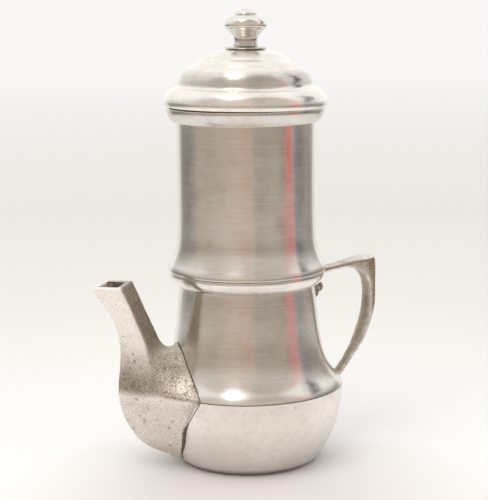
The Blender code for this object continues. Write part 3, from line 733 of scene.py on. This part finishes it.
def mark_spout(obj):
    """Mark how dark (GrimeShade) and how dotted (Fleck) each vertex of the spout is.

    The flat faces behind the side ridges and the bore get painted shade with a dark brown tint, the web
    next to the pot is dotted instead. A painted dark reflection crosses the cheeks, a grimy line follows
    the seam, dots lie under the girdle and along the ridges.
    """
    ridges = sorted((row[4], row[2]) for row in spout_controls())
    top_z, top_r = ridges[-1]
    grime_shade, fleck = [], []
    for vert in obj.data.vertices:
        x, y, z = vert.co / MM
        ridge = read_line(ridges, z, top_r + (z - top_z) * RIDGE_LEAN)
        off_wall = math.hypot(x, y) - bowl_radius(z)
        softness = FLAT_EDGE + WEB_EDGE * ramp(z, *WEB_EDGE_LOW) * ramp(z, *WEB_EDGE_HIGH)
        behind = ramp(ridge - 0.3 + x, 0, softness) * ramp(z, GIRDLE_Z, GIRDLE_Z + 0.6)
        web = behind * ramp(z, *WEB_HIGH) * ramp(off_wall, *WEB_REACH)
        bowed = z - REFLECTION_BOW * (x - REFLECTION_CENTRE) ** 2
        # painted dark reflection of the room across the cheeks
        painted_reflection = 0.85 * ramp(bowed, *REFLECTION_LOW) * ramp(z, *REFLECTION_HIGH) * (1 - behind)
        low = 0.2 * ramp(z, *UNDER_GIRDLE)
        brink = 0.45 * math.exp(-((ridge + x) / BRINK_REACH) ** 2) * ramp(z, *BRINK_LOW)
        fleck.append(max(web, low, brink))
        # painted shade on the flat faces behind the ridges, less on the web; a grimy line along the seam
        flat_shade, seam = behind * (0.92 - 0.85 * web), 0.75 * ramp(off_wall, *SEAM_REACH)
        grime_shade.append(max(flat_shade, painted_reflection, seam, 0.9 * low))
    mark(obj, "GrimeShade", grime_shade)
    mark(obj, "Fleck", fleck)


def build_pot(mats):
    """Bowl, shoulder, collar, spout and handle of the serving pot."""
    bowl = turned("bowl_shell", [
        (0, 0), *BOWL_OUTER, *shrink(BOWL_OUTER[1:-1], BOWL_WALL), (BASE_R - BOWL_WALL, BOWL_WALL),
        (0, BOWL_WALL),
    ], closed=False, offset=hand_made(0.1, 3.1))
    lip = GIRDLE_R - BOWL_WALL - GAP
    shoulder = turned("shoulder_shell", [
        (GIRDLE_R - 0.05, GIRDLE_Z + 0.6 * GAP, 0.1), *SHOULDER_OUTER, (NECK_R, NECK_TOP_Z, CRISP),
        (NECK_R - NECK_WALL, NECK_TOP_Z, CRISP), *shrink(SHOULDER_OUTER[1:], NECK_WALL),
        (lip - NECK_WALL, 49), (lip - 1.6, 43.4, CRISP), (lip - 0.5, 43.4, CRISP),
        (lip, GIRDLE_Z + GAP, CRISP),
    ], offset=hand_made(0.14, 7.7))
    collar = turned("collar_bead", [
        (NECK_R + GAP, 108.2, CRISP), *COLLAR_OUTER, (NECK_R + GAP, NECK_TOP_Z, CRISP),
    ], offset=hand_made(0.1, 1.3, COLLAR_DENTS))
    envelope = turned("pot_envelope", [
        (0, -2), (BASE_R + GAP, -2, CRISP), *grown(BOWL_OUTER), *grown(SHOULDER_OUTER),
        (NECK_R + GAP, 108, CRISP), *grown(COLLAR_OUTER), (46.5, 125, CRISP), (0, 125),
    ], closed=False)

    rows = fine_slices()
    spout = loft("spout_body", spout_rings(rows, 0), CAST_SMOOTH)
    bore = loft("spout_bore", spout_rings(rows, SPOUT_WALL), CAST_SMOOTH)
    apply_booleans(spout, (bore, "DIFFERENCE"), (envelope, "DIFFERENCE"), smooth_angle=CAST_SMOOTH)
    mark_spout(spout)
    roughen(spout, 0.14, 3.2, 5)
    keep(spout, mats["spout"], "serving_pot", "spout", "spout_casting")
    # dark tubes along the seam: a grimy joint and painted shade in its gap
    for side, tag in ((-1, "a"), (1, "b")):
        path = seam_path(side)
        radii = [seam_width(p.z) * (1 + 0.55 * noise.noise(Vector((p.z * 0.6, side, 3)))) for p in path]
        seam = tube("spout_seam_" + tag, path, radii)
        keep(seam, mats["soot_shade"], "serving_pot", "spout", "spout_casting")

    for obj, slot, node in ((bowl, "bowl", "lower_bowl"), (shoulder, "shoulder", "pot_shoulder"),
                            (collar, "collar", "collar_ring")):
        keep(obj, mats[slot], "serving_pot", slot, node)
    build_handle(mats, envelope)
    build_lug(mats, envelope)
    discard(bore, envelope)


def gap_to_line(point, a, b):
    """Distance from a point to the stretch between two others."""
    place, share = intersect_point_line(point, a, b)
    return (point - a.lerp(b, min(1, max(0, share)))).length


# Soiling and painted shade on the handle, in the same pairs: heights, then distances from the pot's axis
TOP_FACE, FOOT, STRIP_LOW, STRIP_BEND = (112, 113), (78, 56), (80, 90), (103, 113)
BRIDGE_LOW, BRIDGE_R, STRIP_R = (100, 106), (78, 70), (79.6, 81)
BLOT_Z, BLOT_REACH = 90, 3.5


def mark_handle(obj):
    """Mark the handle's grimy places and painted shade, its dots and the wear along its corners.

    It is darkest on the inner face, grimy and with painted shade since it faces the pot, at the foot, in
    the crease under the thumb leaf, which is painted shade, and in a strip along the sides' outer edge; the
    leaf's up-facing top is kept light.
    """
    lines = [[Vector((row[end][0], side * row[2], row[end][1])) for row in HANDLE_STATIONS]
             for end in (0, 1) for side in (-1, 1)]
    grime_shade, wear, fleck = [], [], []
    for vert in obj.data.vertices:
        at, normal = vert.co / MM, vert.normal
        near = min(gap_to_line(at, a, b) for line in lines for a, b in zip(line, line[1:]))
        top = ramp(normal.z, 0.35, 0.75) * ramp(at.z, *TOP_FACE)
        inner = ramp(-normal.x, 0.1, 0.6)
        side = ramp(abs(normal.y), 0.4, 0.8)
        foot = ramp(at.z, *FOOT)
        crease = ramp(abs(at.z - read_line(LEAF_LINE, at.x, 0)), 1, 0.45) * (1 - top)
        bridge = ramp(at.z, *BRIDGE_LOW) * ramp(at.x, *BRIDGE_R)
        strip = side * ramp(at.z, *STRIP_LOW) * ramp(at.x + 2.6 * ramp(at.z, *STRIP_BEND), *STRIP_R)
        blot = inner * math.exp(-((at.z - BLOT_Z) / BLOT_REACH) ** 2)
        # grimy tone, with painted shade on the inner face and in the crease under the leaf
        dirt_shade = (0.18 + 0.05 * side) * (1 - 0.6 * bridge) + 0.55 * (inner + strip)
        dirt_shade += 0.15 * foot * inner + crease
        grime_shade.append(min(1, dirt_shade + 0.3 * blot) * (1 - 0.95 * top))
        wear.append(0.95 * ramp(near, 1.3, 0.5) * (1 - top) * (1 - crease) * (1 - strip))
        fleck.append(min(1, foot * inner + 0.5 * inner + 0.3 * bridge + 0.8 * strip + 0.5 * blot + 0.12))
    mark(obj, "GrimeShade", grime_shade)
    mark(obj, "Wear", wear)
    mark(obj, "Fleck", fleck)


def build_handle(mats, envelope):
    """Strap handle with its thumb leaf."""
    rings = []
    rows = curve_through([(*outer, *inner, half) for outer, inner, half in HANDLE_STATIONS], STRAP_STEPS)
    for r, z, inner_r, inner_z, half in rows:
        corners = ((r, -half, z), (inner_r, -half, inner_z), (inner_r, half, inner_z), (r, half, z))
        rings.append(rounded_slice([Vector(p) for p in corners], HANDLE_FILLETS, HANDLE_EDGE_STEPS))
    handle = loft("handle_body", rings)
    leaf_rings = []
    for r, top, half, thick in curve_through(LEAF_STATIONS, STRAP_STEPS):
        low, edge = top - thick, thick * 0.35
        side = ((0.96, low), (1, low + edge), (1, top - edge), (0.95, top - 0.2), (0.5, top - 0.15))
        ring = [(-half * wide, z) for wide, z in side] + [(0, top)]
        ring += [(half * wide, z) for wide, z in side[::-1]]
        leaf_rings.append([Vector((r, y, z)) for y, z in ring])
    leaf = loft("thumb_leaf", leaf_rings)
    apply_booleans(handle, (leaf, "UNION"), (envelope, "DIFFERENCE"))
    mark_handle(handle)
    roughen(handle, 0.16, 2.6, 11)
    keep(handle, mats["handle"], "serving_pot", "handle", "handle_casting")
    discard(leaf)


def build_lug(mats, envelope):
    """Lug below the collar, and the two ends of the rivet through it."""
    outline = soften([(*p, 0.7) for p in LUG_SECTION], closed=True)
    centre = Vector((sum(p.x for p in outline), sum(p.y for p in outline))) / len(outline)
    rings = [[(centre.x + (p.x - centre.x) * size, y, centre.y + (p.y - centre.y) * size) for p in outline]
             for y, size in LUG_SLICES]
    lug = loft("lug_body", rings)
    apply_booleans(lug, (envelope, "DIFFERENCE"))
    roughen(lug, 0.35, 1.7, 2)
    keep(lug, mats["lug"], "serving_pot", "lug", "handle_lug")
    for name, end, key in (
            ("rivet_head", [(0, 48.2), (2.5, 48.2, 0.2), (2.5, 48.7), (1.7, 49.5), (0, 49.7)], "lug"),
            ("rivet_tail", [(0, 36.9), (2, 36.9, 0.3), (2.5, 38.2, 0.2), (0, 38.2)], "screw")):
        rivet = turned(name, end, closed=False, turns=RIVET_TURNS)
        rivet.data.transform(Matrix.Rotation(math.pi / 2, 4, "Y"))
        rivet.data.transform(Matrix.Translation((0, 0, RIVET_Z * MM)))
        keep(rivet, mats[key], "serving_pot", "rivet", "lug_rivet")


# ---- filter chamber and spreader

def build_chamber(mats):
    """Chamber shell with its rim and spigot; the perforated floor is the CAD's own."""
    shell = turned("chamber_wall", [
        *CHAMBER_OUTER, *shrink(CHAMBER_OUTER[1:], CHAMBER_WALL),
        (CHAMBER_OUTER[0][0] - CHAMBER_WALL, CHAMBER_Z, 0.2),
    ], offset=hand_made(0.16, 11.9, CHAMBER_DENTS))
    rim = turned("rim_bead", [(41.5, 205.1, CRISP), *RIM_OUTER, (41.5, CHAMBER_TOP_Z, CRISP)],
                 offset=hand_made(0.1, 5.5))
    spigot = turned("spigot_ring", [
        (37.4, 105, 0.3), (38.1, 105, 0.3), (38.6, 106), (38.6, CHAMBER_Z, 0.2),
        (44.7, CHAMBER_Z, 0.2), (44.7, 118.1, 0.2), (37.4, 118.1, 0.2),
    ])
    keep(shell, mats["chamber"], "filter_chamber", "chamber", "chamber_shell")
    keep(rim, mats["rim"], "filter_chamber", "rim", "chamber_rim")
    keep(spigot, mats["inner"], "filter_chamber", "spigot", "chamber_spigot")
    for node in ("filter_plate", "filter_retainer"):
        coat(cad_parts[node], mats["plate"])


def build_spreader(mats):
    """Stem and knob of the loose spreader; the perforated plate is the CAD's own."""
    coat(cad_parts["spreader_plate"], mats["plate"])
    low = SPREADER_TOP_Z + GAP
    stem = turned("stem_rod", [(0, low), (4, low, 0.2), (4, low + 1), (2.2, low + 2.4),
                               (2.2, STEM_TOP_Z), (0, STEM_TOP_Z)], closed=False, turns=FINE_TURNS)
    keep(stem, mats["inner"], "water_spreader", "stem", "spreader_stem")
    top = STEM_TOP_Z
    knob = turned("spreader_grip", [
        (2.5, top - 6, 0.2), (4.2, top - 6, 0.3), (4.3, top - 3.6), (6.8, top - 1), (7.6, top + 2),
        (6.4, top + 4.6), (3, top + 5.6), (0, top + 5.6), (0, top + GAP), (2.5, top + GAP, 0.2),
    ], closed=False, turns=FINE_TURNS)
    keep(knob, mats["knob"], "water_spreader", "spreader_knob", "spreader_knob")


# ---- lid

LID_LEAN = math.radians(0.55)  # the lid sits a little proud on the spout's side
LID_RAISE = 0.25


def seat_lid(obj):
    """Tilt and raise a lid piece as the lid sits on the chamber."""
    pivot = Vector((0, 0, LID_Z * MM))
    turn = Matrix.Rotation(-LID_LEAN, 4, direction(0, 0))
    tilt = Matrix.Translation(pivot) @ turn @ Matrix.Translation(-pivot)
    obj.data.transform(Matrix.Translation((0, 0, LID_RAISE * MM)) @ tilt)


def build_lid(mats):
    """Dome with rolled rim, skirt, washer, knob and cap; screw and lock washer are the CAD's own."""
    dome = turned("lid_dome", [
        (2.6, LID_CROWN_Z, 0.2), *LID_OUTER, *LID_INNER, (2.6, LID_CROWN_Z - 1.2, 0.2),
    ], offset=hand_made(0.12, 9.4))
    skirt = turned("lid_band", [
        (38.6, 204, 0.3), (39.3, 204, 0.3), (39.7, 205.2), (39.7, 221.8, 0.2), (38.6, 221.8, 0.2),
    ])
    low = LID_CROWN_Z + GAP
    disc = turned("washer_disc", [
        (2.6, low, 0.2), (12.1, low, 0.2), (12.6, low + 0.45), (12.2, low + 0.9, 0.2),
        (2.6, low + 1.1, 0.2),
    ], turns=FINE_TURNS)
    knob = turned("knob_turning", [
        (2.3, KNOB_Z, 0.2), *KNOB_OUTER, (0, 266.9), (0, 259), (2.3, 259, 0.2),
    ], closed=False, turns=FINE_TURNS)
    cap = turned("knob_button", [(0, 267.3), *CAP_OUTER, (0, CAP_TOP_Z)],
                 closed=False, turns=FINE_TURNS)
    for obj, key, slot, node in (
            (dome, "lid", "lid", "lid_shell"), (skirt, "inner", "skirt", "lid_skirt"),
            (disc, "washer", "washer", "knob_washer"), (knob, "knob", "knob", "knob_body"),
            (cap, "knob", "cap", "knob_cap")):
        seat_lid(obj)
        keep(obj, mats[key], "lid", slot, node)
    for node in ("knob_screw", "lock_washer"):
        coat(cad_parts[node], mats["screw"])


# ---- stage

ROOM_RADIUS = 650
ROOM_EYE_Z = 170  # height from which elevations are measured
# What stands round the pot and shows in the metal: direction to the camera's right, elevations between
# which it gives way to the white ceiling, colour before its tint
ROOM = (
    (-142, -4, 10, (0.755, 0.78, 0.773)), (-130, -2, 16, (0.26, 0.255, 0.245)),
    (-112, 2, 26, (0.165, 0.16, 0.15)), (-98, 6, 32, (0.195, 0.178, 0.158)),
    (-88, 10, 40, (0.275, 0.243, 0.2)), (-76, 14, 46, (0.355, 0.3, 0.24)),
    (-60, 40, 78, (0.315, 0.262, 0.212)), (-36, 40, 78, (0.36, 0.285, 0.225)),
    (-18, 60, 84, (0.402, 0.302, 0.233)), (0, 60, 84, (0.385, 0.265, 0.2)),
    (8, 60, 84, (0.377, 0.26, 0.196)), (15, 60, 84, (0.235, 0.195, 0.155)),
    (30, 60, 84, (0.225, 0.198, 0.142)), (44, 60, 84, (0.27, 0.23, 0.168)),
    (58, 60, 84, (0.24, 0.19, 0.145)), (64, 60, 84, (0.3, 0.15, 0.125)),
    (69, 60, 84, (0.48, 0.125, 0.105)), (79, -2, 38, (0.45, 0.125, 0.112)),
    (84, 2, 40, (0.21, 0.13, 0.135)), (89, 8, 42, (0.118, 0.122, 0.15)),
    (96, 8, 40, (0.125, 0.13, 0.15)), (102, 4, 34, (0.175, 0.165, 0.155)),
    (114, -2, 22, (0.215, 0.185, 0.155)), (128, -4, 12, (0.175, 0.16, 0.145)),
    (142, -4, 10, (0.453, 0.46, 0.443)),
)
ROOM_SIDE = 84  # direction from which the sides' tint takes over
ROOM_TINT, SIDE_TINT = (1.03, 0.965, 0.93), (1.06, 1, 0.97)
SKY_TONE = (1.02, 1.01, 0.99)
SKYLINE_EASE = 1.15  # how slowly the wall starts to give way
WALL_FOOT_Z = -5
WALL_HAZE, HAZE_FULL = 0.52, 14  # share of the sky's tone on the wall, and the elevation it's full at
HAZE_LOSS, HAZE_THIN = 0.5, (20, 60)  # share of it that is lost again, and where
ROOM_STEPS = 6  # fine columns of the wall between two rows of ROOM
# Dark gable beyond the handle's side, as corners (direction, elevation)
GABLE = ((89, 18), (119, 22), (117, 34), (109, 55), (104, 36), (100, 27), (94, 29))
GABLE_TONE, GABLE_NEARER = (0.085, 0.08, 0.085), 0.95
# Painted shadow and light on the table, outwards from the shadow's centre: place from 0 to 1, colour
FLOOR_SHADE_STOPS = (
    (0, (0.74, 0.7, 0.675)), (0.08, (0.75, 0.71, 0.685)), (0.15, (0.87, 0.862, 0.855)),
    (0.24, (0.81, 0.797, 0.78)), (0.32, (0.765, 0.745, 0.722)), (0.47, (0.745, 0.72, 0.7)),
    (0.75, (0.82, 0.805, 0.79)), (1, (0.885, 0.882, 0.885)),
)
FLOOR_SHADOW_CENTRE = 0.11  # metres in front of the pot where the table's painted shadow is centred
FLOOR_SPREAD, FLOOR_EASE = 4, 0.6  # metres that the stops span, and how they crowd to the centre
FLOOR_RADIUS = 60000
# Lamps: direction, elevation, distance, size (metres), power (watts), the kind of ray that misses it
LAMPS = {
    "overhead": (-33, 64, 1.3, 0.27, 0.95, "diffuse"),
    "overhead_glow": (-33, 63, 1.4, 0.68, 1.6, "diffuse"),
    "front": (-30, 60, 1.5, 0.9, 6, "glossy"),
}
LAMP_TONE, LAMP_AIM_Z = (1, 0.985, 0.96), 0.15
WORLD_TONE, WORLD_STRENGTH = (1, 0.992, 0.98, 1), 1.05


def hide_from(obj, *kinds):
    """Switch off kinds of ray for a stage object."""
    for kind in kinds:
        setattr(obj, "visible_" + kind, False)


def room_point(psi, lift, radius=ROOM_RADIUS):
    """Place at a radius from the pot, seen in a direction and at an elevation."""
    z = ROOM_EYE_Z + radius * math.tan(math.radians(lift))
    return Vector((radius * math.cos(facing(psi)), radius * math.sin(facing(psi)), z))


def wall_column(bm, layer, psi, low, high, tone):
    """Vertices up the wall, fading from its own tone to the sky's between low and high."""
    hazy = min(HAZE_FULL, low)
    stops = [(WALL_FOOT_Z, 0)]
    for lift in [hazy * k / 4 for k in range(5)] + [low + (high - low) * k / 6 for k in range(7)]:
        haze = WALL_HAZE * (ramp(lift, 0, HAZE_FULL) - HAZE_LOSS * ramp(lift, *HAZE_THIN))
        share = ramp(lift, low, high) ** SKYLINE_EASE
        stops.append((room_point(psi, lift).z, haze + (1 - haze) * share))
    column = []
    for z, mix in stops:
        vert = bm.verts.new((*room_point(psi, 0).xy, z))
        vert[layer] = (*[max(0, c) * (1 - mix) + s * mix for c, s in zip(tone, SKY_TONE)], 1)
        column.append(vert)
    return column


def build_room():
    """Curved wall behind the camera, with a gable before it, that only reflections see."""
    bm = bmesh.new()
    layer = bm.verts.layers.float_color.new("Tone")
    gable = [bm.verts.new(room_point(psi, lift, ROOM_RADIUS * GABLE_NEARER)) for psi, lift in GABLE]
    for vert in gable:
        vert[layer] = (*GABLE_TONE, 1)
    bm.faces.new(gable)
    rows = []
    for psi, low, high, tone in ROOM:
        tint = ROOM_TINT if abs(psi) < ROOM_SIDE else SIDE_TINT
        rows.append((psi, low, high, *(c * t for c, t in zip(tone, tint))))
    rows = curve_through(rows, ROOM_STEPS)
    columns = [wall_column(bm, layer, psi, low, high, tone) for psi, low, high, *tone in rows]
    for a, b in zip(columns, columns[1:]):
        for k in range(len(a) - 1):
            bm.faces.new((a[k], b[k], b[k + 1], a[k + 1]))
    wall = finish_mesh("room_wall", bm)
    n = Nodes("room_tones")
    n.tree.nodes.clear()
    glow = n.add("ShaderNodeEmission", {"Color": n.attribute("Tone", "Color")}).outputs["Emission"]
    n.add("ShaderNodeOutputMaterial", {"Surface": glow})
    wall.data.materials.append(n.material)
    hide_from(wall, "camera", "diffuse", "shadow", "transmission", "volume_scatter")


def build_floor():
    """Pale table with a painted shadow just in front of the pot and painted light and shade in rings round
    it.
    """
    bm = bmesh.new()
    bmesh.ops.create_circle(bm, cap_ends=True, segments=96, radius=FLOOR_RADIUS)
    floor = finish_mesh("floor", bm)
    n = Nodes("floor_paper")
    # painted shadow, darkest at a centre just in front of the pot
    aside = n.add("ShaderNodeVectorMath", {0: n.place, 1: direction(0, 0) * FLOOR_SHADOW_CENTRE},
                  operation="SUBTRACT").outputs["Vector"]
    length = n.add("ShaderNodeVectorMath", {0: aside}, operation="LENGTH").outputs["Value"]
    reach = n.math("POWER", n.math("DIVIDE", length, FLOOR_SPREAD), FLOOR_EASE)
    shading = n.add("ShaderNodeValToRGB", {"Fac": reach})
    while len(shading.color_ramp.elements) < len(FLOOR_SHADE_STOPS):
        shading.color_ramp.elements.new(0.5)
    for element, (place, tone) in zip(shading.color_ramp.elements, FLOOR_SHADE_STOPS):
        element.position = place
        element.color = (*tone, 1)
    floor.data.materials.append(n.finish(shading.outputs["Color"], 0.85, {"Specular IOR Level": 0.15}))


def aim(obj, position, back, roll=0):
    """Put a lamp or the camera in the scene, its back turned to a direction."""
    bpy.context.scene.collection.objects.link(obj)
    obj.location = position
    obj.rotation_mode = "QUATERNION"
    obj.rotation_quaternion = back.to_track_quat("Z", "Y") @ Matrix.Rotation(roll, 3, "Z").to_quaternion()


def add_lamp(name, psi, elevation, distance, size, power, hidden):
    """Square soft light aimed at the pot."""
    data = bpy.data.lights.new(name, "AREA")
    data.shape = "SQUARE"
    data.size = size
    data.energy = power
    data.color = LAMP_TONE
    lamp = bpy.data.objects.new(name, data)
    back = direction(psi, elevation)
    aim(lamp, Vector((0, 0, LAMP_AIM_Z)) + back * distance, back)
    hide_from(lamp, "camera", hidden)


def build_light():
    """White surroundings, two lamps for the metal's highlights and one for the table."""
    world = bpy.data.worlds.new("studio")
    bpy.context.scene.world = world
    world.use_nodes = True
    background = world.node_tree.nodes["Background"]
    background.inputs["Color"].default_value = WORLD_TONE
    background.inputs["Strength"].default_value = WORLD_STRENGTH
    for name, settings in LAMPS.items():
        add_lamp(name, *settings)


def build_camera():
    """Camera at the picture's viewing angle."""
    data = bpy.data.cameras.new("camera")
    data.lens = CAMERA_LENS
    data.sensor_width = CAMERA_SENSOR
    data.clip_start, data.clip_end = CAMERA_CLIP
    camera = bpy.data.objects.new("camera", data)
    right = Vector((math.cos(CAMERA_AZIMUTH), math.sin(CAMERA_AZIMUTH), 0))
    back = direction(0, CAMERA_ELEVATION)
    centre = right * CAMERA_AIM[0] + Vector((0, 0, CAMERA_AIM[1]))
    aim(camera, (centre + back * CAMERA_DISTANCE) * MM, back, CAMERA_ROLL)
    bpy.context.scene.camera = camera
    bpy.context.scene.view_settings.view_transform = "Standard"


def main():
    """Build every visible piece, the table, the room, the light and the camera."""
    mats = make_materials()
    build_pot(mats)
    build_chamber(mats)
    build_spreader(mats)
    build_lid(mats)
    build_floor()
    build_room()
    build_light()
    build_camera()


main()
